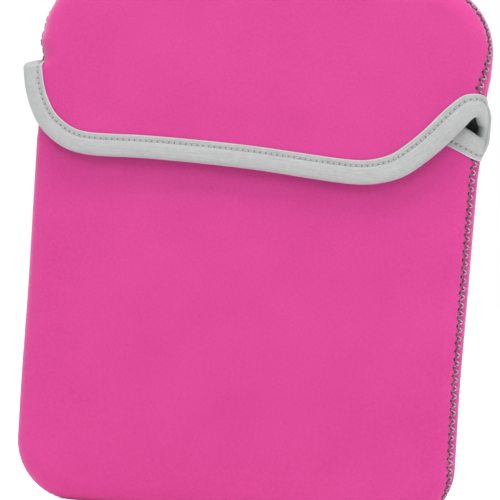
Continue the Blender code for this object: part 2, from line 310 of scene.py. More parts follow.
def new_mesh(name, points, faces, uv=None, materials=()):
    """An object from arrays of points and quads, shaded smooth, with a UV pair for each point."""
    mesh = bpy.data.meshes.new(name)
    mesh.from_pydata(points.reshape(-1, 3).tolist(), [], faces)
    for made in materials:
        mesh.materials.append(made)
    if uv is not None:
        layer = mesh.uv_layers.new(name="lengths")
        corners = np.empty(len(mesh.loops), np.int32)
        mesh.loops.foreach_get("vertex_index", corners)
        layer.data.foreach_set("uv", uv.reshape(-1, 2)[corners].astype(np.float32).ravel())
    mesh.shade_smooth()
    mesh.validate()
    obj = bpy.data.objects.new(name, mesh)
    bpy.context.scene.collection.objects.link(obj)
    return obj


def grid_faces(rows, columns, first=0, flip=False):
    """Quads over a grid of points numbered row by row."""
    index = first + np.arange(rows * columns).reshape(rows, columns)
    quads = np.stack([index[:-1, :-1], index[:-1, 1:], index[1:, 1:], index[1:, :-1]], -1)
    quads = quads.reshape(-1, 4)
    return quads[:, ::-1] if flip else quads


def ply(name, points, normals, outer, inner, uv, side, material):
    """A closed sheet between two depths below a grid of surface points."""
    rows, columns = points.shape[:2]
    top = points - normals * outer
    under = points - normals * inner
    count = rows * columns
    index = np.arange(count).reshape(rows, columns)
    rim = np.concatenate([index[0, :-1], index[:-1, -1], index[-1, :0:-1], index[:0:-1, 0]])
    ahead = np.roll(rim, -1)
    walls = np.stack([ahead, rim, rim + count, ahead + count], -1)
    back = grid_faces(rows, columns, count, flip=True)
    faces = np.concatenate([grid_faces(rows, columns), back, walls])
    if side < 0:
        faces = faces[:, ::-1]
    obj = new_mesh(name, np.stack([top, under]), faces.tolist(), np.stack([uv, uv]), [material])
    obj.data.set_sharp_from_angle(angle=SHARP)
    return obj


def sweep(name, sections, uv, material):
    """A solid with capped ends through closed sections, given as stations by points."""
    stations, count = sections.shape[:2]
    index = np.arange(stations * count).reshape(stations, count)
    around = np.roll(index, -1, axis=1)
    quads = np.stack([index[:-1], index[1:], around[1:], around[:-1]], -1).reshape(-1, 4).tolist()
    quads.append(index[0].tolist())
    quads.append(index[-1][::-1].tolist())
    obj = new_mesh(name, sections, quads, uv, [material])
    obj.data.set_sharp_from_angle(angle=SHARP)
    return obj


def tubes(name, lines, ups, radius, material, sides, runs=None):
    """Round threads along lines of points, with the way up at each point.

    Their UV is the length along the line, or the run given for it, and the share of a turn round it.
    """
    points, faces, coords = [], [], []
    turn = np.linspace(0, 2 * math.pi, sides, endpoint=False)
    first = 0
    for number, (line, up) in enumerate(zip(lines, ups)):
        along = unit(np.gradient(line, axis=0))
        across = unit(np.cross(along, up))
        lift = np.cross(across, along)
        ring = np.cos(turn)[None, :, None] * across[:, None]
        ring = ring + np.sin(turn)[None, :, None] * lift[:, None]
        points.append((line[:, None] + ring * radius).reshape(-1, 3))
        gone = lengths_along(line) if runs is None else runs[number]
        share = np.broadcast_to(turn / (2 * math.pi), (len(line), sides))
        coords.append(np.stack([np.broadcast_to(gone[:, None], share.shape), share], -1).reshape(-1, 2))
        index = first + np.arange(len(line) * sides).reshape(len(line), sides)
        around = np.roll(index, -1, axis=1)
        faces += np.stack([index[:-1], around[:-1], around[1:], index[1:]], -1).reshape(-1, 4).tolist()
        faces.append(index[0][::-1].tolist())
        faces.append(index[-1].tolist())
        first += len(line) * sides
    return new_mesh(name, np.concatenate(points), faces, np.concatenate(coords), [material])


# ---------------- the padding's swell, by cloth simulation

CAP = 0.0016  # no point of the padding swells further than this
CELL = 0.005  # of the simulated sheet
PUSH = 0.5  # the pressure behind it
FRAMES = 24


def settled(name, low, high, half, cap=CAP):
    """How far the padding swells at unrolled points.

    A slack sheet, held at its border, is blown out and settles. Its height is then scaled to the cap.
    """
    columns, rows = round(2 * half / CELL) + 1, round((high - low) / CELL) + 1
    wide, tall = np.linspace(-half, half, columns), np.linspace(low, high, rows)
    grid_x, grid_z = np.meshgrid(wide, tall)
    points = np.stack([grid_x, 0 * grid_x, grid_z], -1)
    sheet = new_mesh(name, points, grid_faces(rows, columns).tolist())
    index = np.arange(rows * columns).reshape(rows, columns)
    rim = np.concatenate([index[0], index[-1], index[1:-1, 0], index[1:-1, -1]])
    sheet.vertex_groups.new(name="held").add(rim.tolist(), 1.0, "REPLACE")
    cloth = sheet.modifiers.new("Cloth", "CLOTH").settings
    cloth.vertex_group_mass = "held"
    cloth.quality = 6
    cloth.mass = 0.25
    cloth.bending_stiffness = 4.0
    cloth.shrink_min = -0.010
    cloth.use_pressure = True
    cloth.uniform_pressure_force = PUSH
    cloth.effector_weights.gravity = 0.0
    for number in range(1, FRAMES + 1):
        bpy.context.scene.frame_set(number)
    moved = np.empty(rows * columns * 3)
    done = sheet.evaluated_get(bpy.context.evaluated_depsgraph_get())
    done.data.vertices.foreach_get("co", moved)
    swell = np.abs(moved.reshape(rows, columns, 3)[..., 1])
    bpy.context.scene.frame_set(1)
    mesh = sheet.data
    bpy.data.objects.remove(sheet)
    bpy.data.meshes.remove(mesh)
    return sampled(wide, tall, cap * np.tanh(1.4 * swell / swell.max()))


def sampled(wide, tall, values):
    """A smooth height from a grid of values, by cubic B-splines, that fades out at the grid's edge."""

    def taps(place, axis):
        k = np.clip((place - axis[0]) / (axis[1] - axis[0]), 0, len(axis) - 1.000001)
        low = k.astype(int)
        t = k - low
        picks = [np.clip(low + step, 0, len(axis) - 1) for step in (-1, 0, 1, 2)]
        weights = [
            (1 - t) ** 3 / 6,
            (3 * t**3 - 6 * t**2 + 4) / 6,
            (-3 * t**3 + 3 * t**2 + 3 * t + 1) / 6,
            t**3 / 6,
        ]
        return picks, weights

    def height(x, z):
        (columns, across), (rows, up) = taps(x, wide), taps(z, tall)
        total = sum(values[r, c] * a * u for r, u in zip(rows, up) for c, a in zip(columns, across))
        edge = np.minimum(x - wide[0], wide[-1] - x)
        edge = np.minimum(edge, np.minimum(z - tall[0], tall[-1] - z))
        return total * smooth(edge / 0.012)

    return height


PANEL_SWELL = settled("panel_padding", 0.006, 0.186, 0.110)
BACK_SWELL = settled("back_padding", 0.006, 0.268, 0.108)
HOOD_SWELL = settled("hood_padding", 0.190, 0.268, 0.106, 0.0009)

# ---------------- materials


def linear(r, g, b):
    """A linear colour from one given as 0 to 255 on the screen."""
    return tuple(((c / 255 + 0.055) / 1.055) ** 2.4 if c > 10 else c / 3294.6 for c in (r, g, b)) + (1.0,)


class Nodes:
    """A material's node tree, with a short way to add and join nodes."""

    def __init__(self, name, **sockets):
        self.material = bpy.data.materials.new(name)
        self.material.use_nodes = True
        self.tree = self.material.node_tree
        self.shader = self.tree.nodes["Principled BSDF"]
        for socket, value in sockets.items():
            self.shader.inputs[socket.replace("_", " ")].default_value = value

    def add(self, kind, links=None, inputs=None, **settings):
        node = self.tree.nodes.new(kind)
        for name, value in settings.items():
            setattr(node, name, value)
        for name, value in (inputs or {}).items():
            node.inputs[name].default_value = value
        for name, output in (links or {}).items():
            self.tree.links.new(output, node.inputs[name])
        return node.outputs[0]

    def coords(self):
        return self.add("ShaderNodeTexCoord").node.outputs["Object"]

    def lengths(self):
        return self.add("ShaderNodeTexCoord").node.outputs["UV"]

    def noise(self, where, scale, detail=2.0, rough=0.5):
        inputs = {"Scale": scale, "Detail": detail, "Roughness": rough}
        return self.add("ShaderNodeTexNoise", {"Vector": where}, inputs)

    def math(self, operation, a, b=None):
        node = self.tree.nodes.new("ShaderNodeMath")
        node.operation = operation
        for socket, value in zip(node.inputs, (a, b)):
            if isinstance(value, (int, float)):
                socket.default_value = value
            elif value is not None:
                self.tree.links.new(value, socket)
        return node.outputs[0]

    def ramp(self, value, low, high, start=0.0, end=1.0):
        node = self.tree.nodes.new("ShaderNodeMapRange")
        node.clamp = True
        ends = {"From Min": low, "From Max": high, "To Min": start, "To Max": end}
        for name, number in ends.items():
            node.inputs[name].default_value = number
        self.tree.links.new(value, node.inputs["Value"])
        return node.outputs[0]

    def blend(self, share, a, b):
        node = self.tree.nodes.new("ShaderNodeMix")
        node.data_type = "RGBA"
        self.tree.links.new(share, node.inputs[0])
        for socket, value in ((node.inputs[6], a), (node.inputs[7], b)):
            if isinstance(value, tuple):
                socket.default_value = value
            else:
                self.tree.links.new(value, socket)
        return node.outputs[2]

    def split(self, vector):
        node = self.tree.nodes.new("ShaderNodeSeparateXYZ")
        self.tree.links.new(vector, node.inputs[0])
        return node.outputs

    def finish(self, colour, roughness=None, height=None, distance=0.0001, strength=0.6):
        self.tree.links.new(colour, self.shader.inputs["Base Color"])
        if roughness is not None:
            self.tree.links.new(roughness, self.shader.inputs["Roughness"])
        if height is not None:
            inputs = {"Strength": strength, "Distance": distance}
            bumped = self.add("ShaderNodeBump", {"Height": height}, inputs)
            self.tree.links.new(bumped, self.shader.inputs["Normal"])
        return self.material


def knit_height(nodes, where, course=0.00042, wale=0.00036):
    """Fine knitted jersey: rows of small V shapes."""
    parts = nodes.split(where)
    across = nodes.math("MULTIPLY", parts["X"], 2 * math.pi / wale)
    slant = nodes.math("ABSOLUTE", nodes.math("SINE", nodes.math("MULTIPLY", across, 0.5)))
    rows = nodes.math("MULTIPLY", parts["Y"], 2 * math.pi / course)
    rows = nodes.math("ADD", rows, nodes.math("MULTIPLY", slant, 2.4))
    return nodes.math("MULTIPLY", nodes.math("ADD", nodes.math("SINE", rows), 1.0), slant)


def jersey_material():
    """Hot pink jersey, finely knitted and a little cloudy, with a sheen."""
    nodes = Nodes(
        "jersey", Specular_IOR_Level=0.2, Sheen_Weight=0.9, Sheen_Roughness=0.32,
        Sheen_Tint=linear(255, 210, 230),
    )
    where, lengths = nodes.coords(), nodes.lengths()
    cloudy = nodes.ramp(nodes.noise(where, 26, 3.0, 0.55), 0.32, 0.68)
    mottled = nodes.ramp(nodes.noise(where, 720, 2.0, 0.6), 0.3, 0.7)
    colour = nodes.blend(cloudy, linear(203, 62, 138), linear(211, 70, 145))
    lit = nodes.blend(mottled, linear(197, 56, 133), linear(215, 74, 149))
    grain = nodes.ramp(nodes.noise(where, 900, 1.0, 0.5), 0.0, 1.0, 0.25, 0.55)
    colour = nodes.blend(grain, colour, lit)
    knit = knit_height(nodes, lengths)
    pilled = nodes.noise(where, 1500, 2.0, 0.6)
    height = nodes.math("ADD", nodes.math("MULTIPLY", knit, 0.45), nodes.math("MULTIPLY", pilled, 0.9))
    rough = nodes.ramp(mottled, 0.0, 1.0, 0.78, 0.9)
    return nodes.finish(colour, rough, height, 0.00012, 0.55)


def lining_material():
    """Grey lining, knitted and brushed."""
    nodes = Nodes(
        "lining", Specular_IOR_Level=0.25, Sheen_Weight=0.25, Sheen_Roughness=0.5,
        Sheen_Tint=linear(150, 152, 160),
    )
    where, lengths = nodes.coords(), nodes.lengths()
    mottled = nodes.ramp(nodes.noise(where, 480, 3.0, 0.6), 0.3, 0.7)
    colour = nodes.blend(mottled, linear(128, 129, 132), linear(148, 149, 152))
    height = nodes.math("ADD", knit_height(nodes, lengths), nodes.noise(where, 1400, 2.0, 0.6))
    return nodes.finish(colour, nodes.ramp(mottled, 0, 1, 0.8, 0.93), height, 0.00012, 0.6)


def foam_material():
    """Dark foam with small cells."""
    nodes = Nodes("foam", Specular_IOR_Level=0.3)
    where = nodes.coords()
    cells = nodes.add("ShaderNodeTexVoronoi", {"Vector": where}, {"Scale": 2600.0})
    colour = nodes.blend(nodes.ramp(cells, 0.0, 0.6), linear(36, 36, 38), linear(58, 58, 60))
    return nodes.finish(colour, nodes.ramp(cells, 0.0, 0.6, 0.7, 0.92), cells, 0.00012, 0.8)


def tape_material():
    """Ribbed binding tape, with painted shade at its stitches, over its fold and on its inner leg. Its UV
    runs along it, and across from its foot.
    """
    nodes = Nodes(
        "binding", Specular_IOR_Level=0.35, Sheen_Weight=0.18, Sheen_Roughness=0.35,
        Sheen_Tint=linear(235, 238, 240),
    )
    where, lengths = nodes.coords(), nodes.lengths()
    parts = nodes.split(lengths)
    rib = nodes.math("SINE", nodes.math("MULTIPLY", parts["Y"], 2 * math.pi / 0.00085))
    weft = nodes.math("SINE", nodes.math("MULTIPLY", parts["X"], 2 * math.pi / 0.00045))
    crossed = nodes.math("ADD", nodes.math("MULTIPLY", weft, 0.4), 1.0)
    weave = nodes.math("MULTIPLY", nodes.math("ADD", rib, 1.0), crossed)
    mottled = nodes.ramp(nodes.noise(where, 420, 3.0, 0.6), 0.3, 0.7)
    colour = nodes.blend(mottled, linear(165, 166, 167), linear(177, 178, 178))
    stretch = (70.0, 2600.0, 1.0)
    stretched = nodes.add("ShaderNodeVectorMath", {0: lengths}, {1: stretch}, operation="MULTIPLY")
    streaks = nodes.ramp(nodes.noise(stretched, 1.0, 2.0, 0.6), 0.35, 0.65, 0.0, 0.5)
    colour = nodes.blend(streaks, colour, linear(194, 196, 195))
    selvedge = nodes.ramp(parts["Y"], 0.0002, 0.0007, 1.0, 0.0)
    colour = nodes.blend(selvedge, colour, linear(200, 204, 202))
    # Painted shade: the tape darkened a little along the groove of its stitch line.
    ditch = nodes.math("ABSOLUTE", nodes.math("SUBTRACT", parts["Y"], TAPE_FOOT - STITCH_IN))
    colour = nodes.blend(nodes.ramp(ditch, 0.0001, 0.0007, 0.10, 0.0), colour, linear(150, 152, 155))
    # Painted shade: a dark spot at each needle hole of the lockstitch.
    beat = nodes.math("FRACT", nodes.math("ADD", nodes.math("MULTIPLY", parts["X"], 1 / LOCK_PITCH), 0.5))
    along = nodes.math("MULTIPLY", nodes.math("SUBTRACT", beat, 0.5), LOCK_PITCH)
    squares = [nodes.math("MULTIPLY", value, value) for value in (along, ditch)]
    reach = nodes.math("SQRT", nodes.math("ADD", *squares))
    colour = nodes.blend(nodes.ramp(reach, 0.00030, 0.0008, 0.7, 0.0), colour, linear(100, 102, 104))
    # Painted shade: the tape darkened a little towards and over its fold.
    fold_painted_shade = nodes.ramp(parts["Y"], TAPE_FOOT - 0.0035, TAPE_FOOT + 0.001, 0.0, 0.3)
    colour = nodes.blend(fold_painted_shade, colour, linear(160, 162, 164))
    # Painted shade: past the fold, the tape's inner leg is darkened strongly.
    inner = nodes.ramp(parts["Y"], TAPE_FOOT + 0.001, TAPE_FOOT + 0.004, 0.0, 0.75)
    colour = nodes.blend(inner, colour, linear(126, 128, 130))
    height = nodes.math("ADD", weave, nodes.math("MULTIPLY", nodes.noise(where, 1600, 2.0, 0.6), 0.8))
    return nodes.finish(colour, nodes.ramp(mottled, 0, 1, 0.62, 0.78), height, 0.0001, 0.5)


def thread_material(name, dark, light, twist, rough):
    """Twisted thread: its strands wind round it, with painted shade in the creases between them."""
    nodes = Nodes(name, Specular_IOR_Level=0.45, Sheen_Weight=0.1, Sheen_Roughness=0.3)
    parts = nodes.split(nodes.lengths())
    turns = nodes.math("MULTIPLY", parts["X"], 2 * math.pi / twist)
    turns = nodes.math("ADD", turns, nodes.math("MULTIPLY", parts["Y"], 4 * math.pi))
    strand = nodes.ramp(nodes.math("SINE", turns), -1.0, 1.0)
    roughness = nodes.ramp(strand, 0, 1, rough + 0.15, rough)
    return nodes.finish(nodes.blend(strand, dark, light), roughness, strand, 0.0001, 0.6)


def seam_thread_material():
    """The zigzag's thread: pale along its legs, with painted shade where it dives into the cloth at one
    side and in the creases between its strands.

    Its UV runs from 0 to 1 over each zigzag.
    """
    nodes = Nodes(
        "seam_thread", Specular_IOR_Level=0.5, Sheen_Weight=0.1, Sheen_Roughness=0.3
    )
    parts = nodes.split(nodes.lengths())
    turns = nodes.math("MULTIPLY", parts["X"], 2 * math.pi * 7)
    turns = nodes.math("ADD", turns, nodes.math("MULTIPLY", parts["Y"], 4 * math.pi))
    strand = nodes.ramp(nodes.math("SINE", turns), -1.0, 1.0)
    # Painted shade: the thread darkened near one end of each leg, where it dives into the cloth.
    phase = nodes.math("FRACT", nodes.math("ADD", parts["X"], 0.96))
    from_end = nodes.math("ABSOLUTE", nodes.math("SUBTRACT", phase, 0.5))
    uneven = nodes.math("MULTIPLY", nodes.noise(nodes.coords(), 260, 1.0, 0.5), 0.22)
    near = nodes.ramp(nodes.math("ADD", from_end, uneven), 0.20, 0.42)
    # Painted shade: both colours darker in the creases between the strands.
    dark = nodes.blend(strand, linear(16, 24, 28), linear(44, 54, 58))
    pale = nodes.blend(strand, linear(112, 128, 128), linear(188, 202, 200))
    roughness = nodes.ramp(strand, 0, 1, 0.6, 0.45)
    return nodes.finish(nodes.blend(near, dark, pale), roughness, strand, 0.0001, 0.6)


JERSEY_LOOK = jersey_material()
LINING_LOOK = lining_material()
FOAM_LOOK = foam_material()
TAPE_LOOK = tape_material()
ZIGZAG_LOOK = seam_thread_material()
# The lock thread's darker grey is painted shade in the creases between its strands.
LOCK_LOOK = thread_material("lock_thread", linear(170, 172, 173), linear(206, 208, 208), 0.0009, 0.5)

# ---------------- panels


def flare(x, z):
    """How much the back's right edge stands straight out beside the mouth."""
    share = smooth((z - MOUTH_LOW) / 0.012) * smooth((MOUTH_HIGH - z) / 0.011)
    return np.where(x > 0, share, 0)


def back_surface(x, z):
    """The back, its edges rolled on to the front. Beside the mouth the right one stands out instead."""
    inside, out_x, out_z = outline_frame(x, z)
    angle, shift = roll(inside)
    lift = np.where(angle > 0, BACK_DEPTH, front_depth(z)) * np.sin(angle)
    slope = math.sqrt(0.5)  # the sine of 45 degrees, where the straight part leaves the roll
    straight = np.maximum(ROLL * math.pi / 4 - inside, 0) * slope
    bent = straight > 0
    out_shift = np.where(bent, inside - UNROLLED - ROLL * (1 - slope) + straight, shift)
    out_lift = np.where(bent, BACK_DEPTH * slope - straight, lift)
    share = flare(x, z)
    shift, lift = mix(shift, out_shift, share), mix(lift, out_lift, share)
    return np.stack([x + out_x * shift, SEAM_Y + lift, z + out_z * shift], -1)


def seam_relief(x, z, side):
    """The cloth's rise beside the seam: pulled in at it, full next to it, scalloped between its legs."""
    inside, _, _ = outline_frame(x, z, LOOP)
    away = inside - side * ROLL * seam_angle(x, z)
    sink = -0.00055 * bump(away / 0.0011)
    full = 0.00035 * smooth(away / 0.004) * (1 - smooth((away - 0.006) / 0.016))
    run = np.where(z < 0.02, np.abs(x), z)
    scallop = 0.00016 * np.cos(2 * math.pi * run / ZIGZAG_PITCH + side) * bump((away - 0.0014) / 0.0016)
    return sink + full + scallop


def raised(surface, side, relief):
    """A panel's own surface: side is 1 at the front and -1 at the back, relief its rise at each point."""

    def shaped(x, z):
        points = surface(x, z)
        return points + normals_of(surface, x, z) * (side * relief(x, z))[..., None]

    return shaped


def make_panel(name, surface, x, z, side, replaced):
    """A panel's three plies, each replacing the frame's own, over a grid of unrolled points."""
    made = []
    uv = np.stack([x, z], -1)
    points = surface(x, z)
    normals = normals_of(surface, x, z) * side
    for ply_name, outer, inner, look in (
        ("outer_jersey", 0, JERSEY, JERSEY_LOOK),
        ("foam_core", JERSEY, LAMINATE - LINING, FOAM_LOOK),
        ("lining", LAMINATE - LINING, LAMINATE, LINING_LOOK),
    ):
        piece = ply(f"{name}_{ply_name}", points, normals, outer, inner, uv, side, look)
        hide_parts(*[f"{node}_{ply_name}" for node in replaced])
        made.append(piece)
    return made


def corner_rows(start, way, count=44):
    """Heights through a rounded corner, evenly round its arc, from the outermost one inwards."""
    reach = {-1: BOTTOM_CORNER, 1: TOP_CORNER}[way] + UNROLLED
    turn = np.linspace(0, math.pi / 2, count)
    return start - way * reach * (1 - np.cos(turn))


def columns_across(half=0.118, fine=0.0004, middle=0.0014):
    """Places across a panel from -1 to 1, fine near both ends."""
    edge = np.concatenate([np.arange(0, 0.006, fine), np.arange(0.006, 0.02, fine * 2)])
    inner = np.linspace(0.02, half, round((half - 0.02) / middle))
    share = 1 - np.concatenate([edge, inner]) / half
    return np.concatenate([-share, share[-2::-1]])


ACROSS = columns_across()


def spread_rows(rows, side):
    """A grid of unrolled points over a panel, from its rows' heights."""
    z = np.repeat(rows[:, None], len(ACROSS), 1)
    x = canonical_half_width(ACROSS[None, :], z) * ACROSS[None, :]
    return to_seam(x, z, side)


def pocket_grid():
    """The pocket's front, from the bottom seam to its lip."""
    low = corner_rows(-UNROLLED, -1)
    middle = np.arange(low[-1] + ROW_STEP, POCKET_TOP - 0.0005, ROW_STEP)
    return spread_rows(np.concatenate([low, middle, [POCKET_TOP]]), 1)


def back_grid():
    """The back, from the bottom seam to the top seam."""
    low, high = corner_rows(-UNROLLED, -1), corner_rows(HEIGHT + UNROLLED, 1)[::-1]
    middle = np.arange(low[-1] + ROW_STEP, high[0] - 0.0005, ROW_STEP)
    return spread_rows(np.concatenate([low, middle, high]), -1)


# ---------------- the mouth's edge, unrolled


def even_path(points, step, smoothing):
    """A smooth line through points, smoothed further that many times, and evenly spaced."""
    points = np.asarray(points, float)
    ahead = np.vstack([2 * points[0] - points[1], points, 2 * points[-1] - points[-2]])
    pieces = []
    t = np.linspace(0, 1, 24, endpoint=False)[:, None]
    for a, b, c, d in zip(ahead, ahead[1:], ahead[2:], ahead[3:]):
        square, cube = 2 * a - 5 * b + 4 * c - d, 3 * b - a - 3 * c + d
        pieces.append(0.5 * (2 * b + (c - a) * t + square * t**2 + cube * t**3))
    line = np.vstack(pieces + [points[-1:]])
    for turn in range(2):
        gone = lengths_along(line)
        count = max(2, round(gone[-1] / step)) + 1
        want = np.linspace(0, gone[-1], count)
        line = read_along(want, gone, line)
        for _ in range(smoothing if turn == 0 else 0):
            line[1:-1] = (line[:-2] + 2 * line[1:-1] + line[2:]) / 4
    return line


# The flap's edge from its left end to its right, at the tape's fold. It turns down at the right.
FLAP_EDGE = (
    (-0.1216, 0.2178), (-0.1210, 0.2140), (-0.1194, 0.2065), (-0.1166, 0.1992),
    (-0.1117, 0.1905), (-0.1052, 0.1842), (-0.0973, 0.1794), (-0.0893, 0.1772),
    (-0.0790, 0.1765), (-0.0550, 0.1769), (-0.0245, 0.1762), (0.0012, 0.1750),
    (0.0300, 0.1725), (0.0490, 0.1712), (0.0620, 0.1720), (0.0755, 0.1764),
    (0.0865, 0.1845), (0.0965, 0.1940), (0.1038, 0.2026), (0.1076, 0.2068),
    (0.1106, 0.2095), (0.1130, 0.2104), (0.1147, 0.2092), (0.1154, 0.2064),
)
# The tape's width on the flap, as a share of its foot: narrow at the left, pulled wide at the right.
FLAP_TAPE_X = (-0.1216, -0.1050, -0.0800, 0.0, 0.0550, 0.0850, 0.1000, 0.1100, 0.1140)
FLAP_TAPE_SHARE = (0.87, 0.90, 0.915, 0.95, 1.0, 1.08, 1.11, 1.05, 0.80)
FLAP_PATH = even_path(FLAP_EDGE, PATH_STEP, smoothing=25)


def turned(path, hand):
    """The unit way across a path, to its left (1) or right (-1)."""
    along = unit(np.gradient(path, axis=0))
    return np.stack([-along[:, 1], along[:, 0]], 1) * hand


def flap_grid():
    """The hood above its crease, and the flap ruled from the crease to its edge."""
    high = corner_rows(HEIGHT + UNROLLED, 1)[::-1]
    rows = np.concatenate([np.arange(CREASE_Z, high[0] - 0.0005, ROW_STEP), high])
    hood_x, hood_z = spread_rows(rows, 1)
    gone = np.linspace(0, 1, len(FLAP_PATH))
    inner = FLAP_PATH + turned(FLAP_PATH, 1) * TAPE_FOLD
    edge_x = np.interp((ACROSS + 1) / 2, gone, inner[:, 0])
    edge_z = np.interp((ACROSS + 1) / 2, gone, inner[:, 1])
    share = np.linspace(1, 0, 46)[:-1, None]
    flap_x = mix(hood_x[0][None], edge_x[None], share)
    flap_z = mix(hood_z[0][None], edge_z[None], share)
    return np.vstack([flap_x, hood_x]), np.vstack([flap_z, hood_z])


def pocket_relief(x, z):
    """The pocket front's swell and its seam, which ends at the mouth."""
    return seam_relief(x, z, 1) * (1 - smooth((z - 0.182) / 0.006)) + PANEL_SWELL(x, z)


def back_relief(x, z):
    """The back's swell and its seams, with none beside the mouth."""
    return seam_relief(x, z, -1) * (1 - bump((z - 0.204) / 0.013)) + BACK_SWELL(x, z)


def hood_relief(x, z):
    """The hood's swell, clear of the flap's tape, and its seam, which ends at the crease."""
    tape_top = FLAP_PATH + turned(FLAP_PATH, 1) * 0.0150
    clear = z - np.interp(x, tape_top[:, 0], tape_top[:, 1])
    seam = seam_relief(x, z, 1) * smooth((z - CREASE_Z - 0.0035) / 0.004)
    return seam + HOOD_SWELL(x, z) * smooth(clear / 0.020)


def tape_front(x, z):
    """The flap's surface under its tape, whose left end stays flat to the top."""
    return hood_front(x, z, 0.0090)


def build_panels():
    """The pocket's front, the back, and the hood with its flap."""
    pocket = raised(pocket_front, 1, pocket_relief)
    x, z = pocket_grid()
    for piece in make_panel("pocket_front", pocket, x, z, 1, ["front_panel"]):
        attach(piece, "pocket")
    back = raised(back_surface, -1, back_relief)
    x, z = back_grid()
    for piece in make_panel("back", back, x, z, -1, ["back_panel_lower", "back_panel_upper"]):
        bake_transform(piece)
    hood = raised(hood_front, 1, hood_relief)
    x, z = flap_grid()
    for piece in make_panel("hood_and_flap", hood, x, z, 1, ["hood_panel", "flap"]):
        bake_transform(piece)


# ---------------- the tape round the mouth

ACROSS_TAPE = np.linspace(TAPE_FOLD, TAPE_FOOT, 9)  # how far in from the fold a bed's points lie
MID_TAPE = 4  # the one of them whose line gives the tape's length
LIP_LEFT_Z, LIP_RIGHT_X = 0.2060, 0.1160  # where the lip's tape gives way to the corners'
NEEDLE_RISE = 0.00070  # of the stitches over the tape's bed
BOBBIN_DROP = 0.00060  # of the stitches under the laminate


def mouth_path():
    """The pocket's lip and the back's free edges beside the mouth: down the left, along, up the right."""
    z = np.arange(0.2185, 0.2085, -0.001)
    left_x = -(side_width(-1, z) + UNROLLED - ROLL * seam_angle(-np.ones_like(z), z))
    left = np.stack([left_x, z], 1)
    lip = [(left[-1][0] + 0.0025, 0.2053), (left[-1][0] + 0.009, 0.2040)]
    lip += [(v, 0.2040) for v in (-0.09, -0.05, 0, 0.04)] + [(0.065, 0.2052), (0.082, 0.2064)]
    lip += [(0.0945, 0.2066), (0.1005, 0.2054), (0.1060, 0.2032), (0.1110, 0.2008), (0.1150, 0.1992)]
    lip += [(0.1178, 0.1996), (0.1186, 0.2022), (0.1183, 0.2042)]
    return even_path(np.vstack([left, lip]), PATH_STEP, smoothing=20)


MOUTH_PATH = mouth_path()


def bed(surface, path, hand, side=1, share=None):
    """Points and normals under a tape, for each place along a path and each distance across it."""
    ways = turned(path, hand)
    for _ in range(12):
        ways[1:-1] = (ways[:-2] + 2 * ways[1:-1] + ways[2:]) / 4
    ways = unit(ways)
    if share is not None:
        ways *= share[:, None]
    where = path[:, None, :] + ways[:, None, :] * ACROSS_TAPE[None, :, None]
    x, z = where[..., 0], where[..., 1]
    return surface(x, z), normals_of(surface, x, z) * side


def on_bed(part, distance):
    """A bed's points or normals, all along it, at one distance in from the fold."""
    place = np.interp(distance, ACROSS_TAPE, np.arange(len(ACROSS_TAPE)))
    low = min(int(place), len(ACROSS_TAPE) - 2)
    return mix(part[:, low], part[:, low + 1], place - low)


def bridge(first, second, count, swing):
    """Stations that carry a tape from one bed's end round to another bed's start."""
    (points_a, normals_a), (points_b, normals_b) = first, second
    leave = unit(points_a[-1] - points_a[-4]) * swing
    arrive = unit(points_b[3] - points_b[0]) * swing
    t = np.linspace(0, 1, count + 2)[1:-1, None, None]
    points = (
        (2 * t**3 - 3 * t**2 + 1) * points_a[-1] + (t**3 - 2 * t**2 + t) * leave
        + (3 * t**2 - 2 * t**3) * points_b[0] + (t**3 - t**2) * arrive
    )
    return points, unit(mix(normals_a[-1], normals_b[0], smooth(t)))


def tape_rise(distance):
    """The tape's rise over its bed, and the depth of its holes, by the distance in from its fold."""
    pinch = 0.00032 * bump((distance - STITCH_IN) / 0.0007)
    hole = 0.00018 * bump((distance - STITCH_IN) / 0.0006)
    swell = 0.00030 * bump((distance - 0.0052) / 0.0026)
    selvedge = 0.00010 * smooth((distance - 0.0112) / 0.0006)
    return swell + selvedge - pinch, hole


def tape_sections(points, normals):
    """The tape folded over an edge: its sections, their UV, the lengths along it and its flat width."""
    gone = lengths_along(points[:, MID_TAPE])
    legs = [np.linspace(TAPE_FOOT, 0.0106, 4), np.linspace(0.0100, 0.0086, 4)]
    legs = np.concatenate(legs + [np.linspace(0.0078, TAPE_FOLD, 6)])
    beat = 0.5 + 0.5 * np.cos(2 * math.pi * gone / LOCK_PITCH)
    rim, way = points[:, 0], unit(points[:, 0] - points[:, 1])
    middle = (TAPE_GAP - LAMINATE) / 2
    faces = []
    for thickness in (TAPE_THICK, 0.0):
        face = []
        for distance, rise, hole in zip(legs, *tape_rise(legs)):
            height = (TAPE_GAP + thickness + rise - hole * beat * 2)[:, None]
            face.append(on_bed(points, distance) + on_bed(normals, distance) * height)
        tall = LAMINATE / 2 + 0.00008 + thickness
        deep = TAPE_FOLD - (TAPE_THICK - thickness)
        for angle in np.linspace(0, math.pi, 11)[1:-1]:
            off = normals[:, 0] * (middle + tall * math.cos(angle))
            face.append(rim + off + way * deep * math.sin(angle) ** 0.8)
        for distance in legs[::-1]:
            face.append(on_bed(points, distance) + on_bed(normals, distance) * (-LAMINATE - thickness))
        faces.append(face)
    outside, inside = faces
    steps = np.linalg.norm(np.diff(np.stack(outside, 1), axis=1), axis=2)
    across = np.concatenate([[0], np.cumsum(steps.mean(0))])
    across = np.concatenate([across, across[::-1]])
    uv = np.stack(np.broadcast_arrays(gone[:, None], across[None, :]), -1)
    return np.stack(outside + inside[::-1], 1), uv, gone, steps.sum(1).mean()


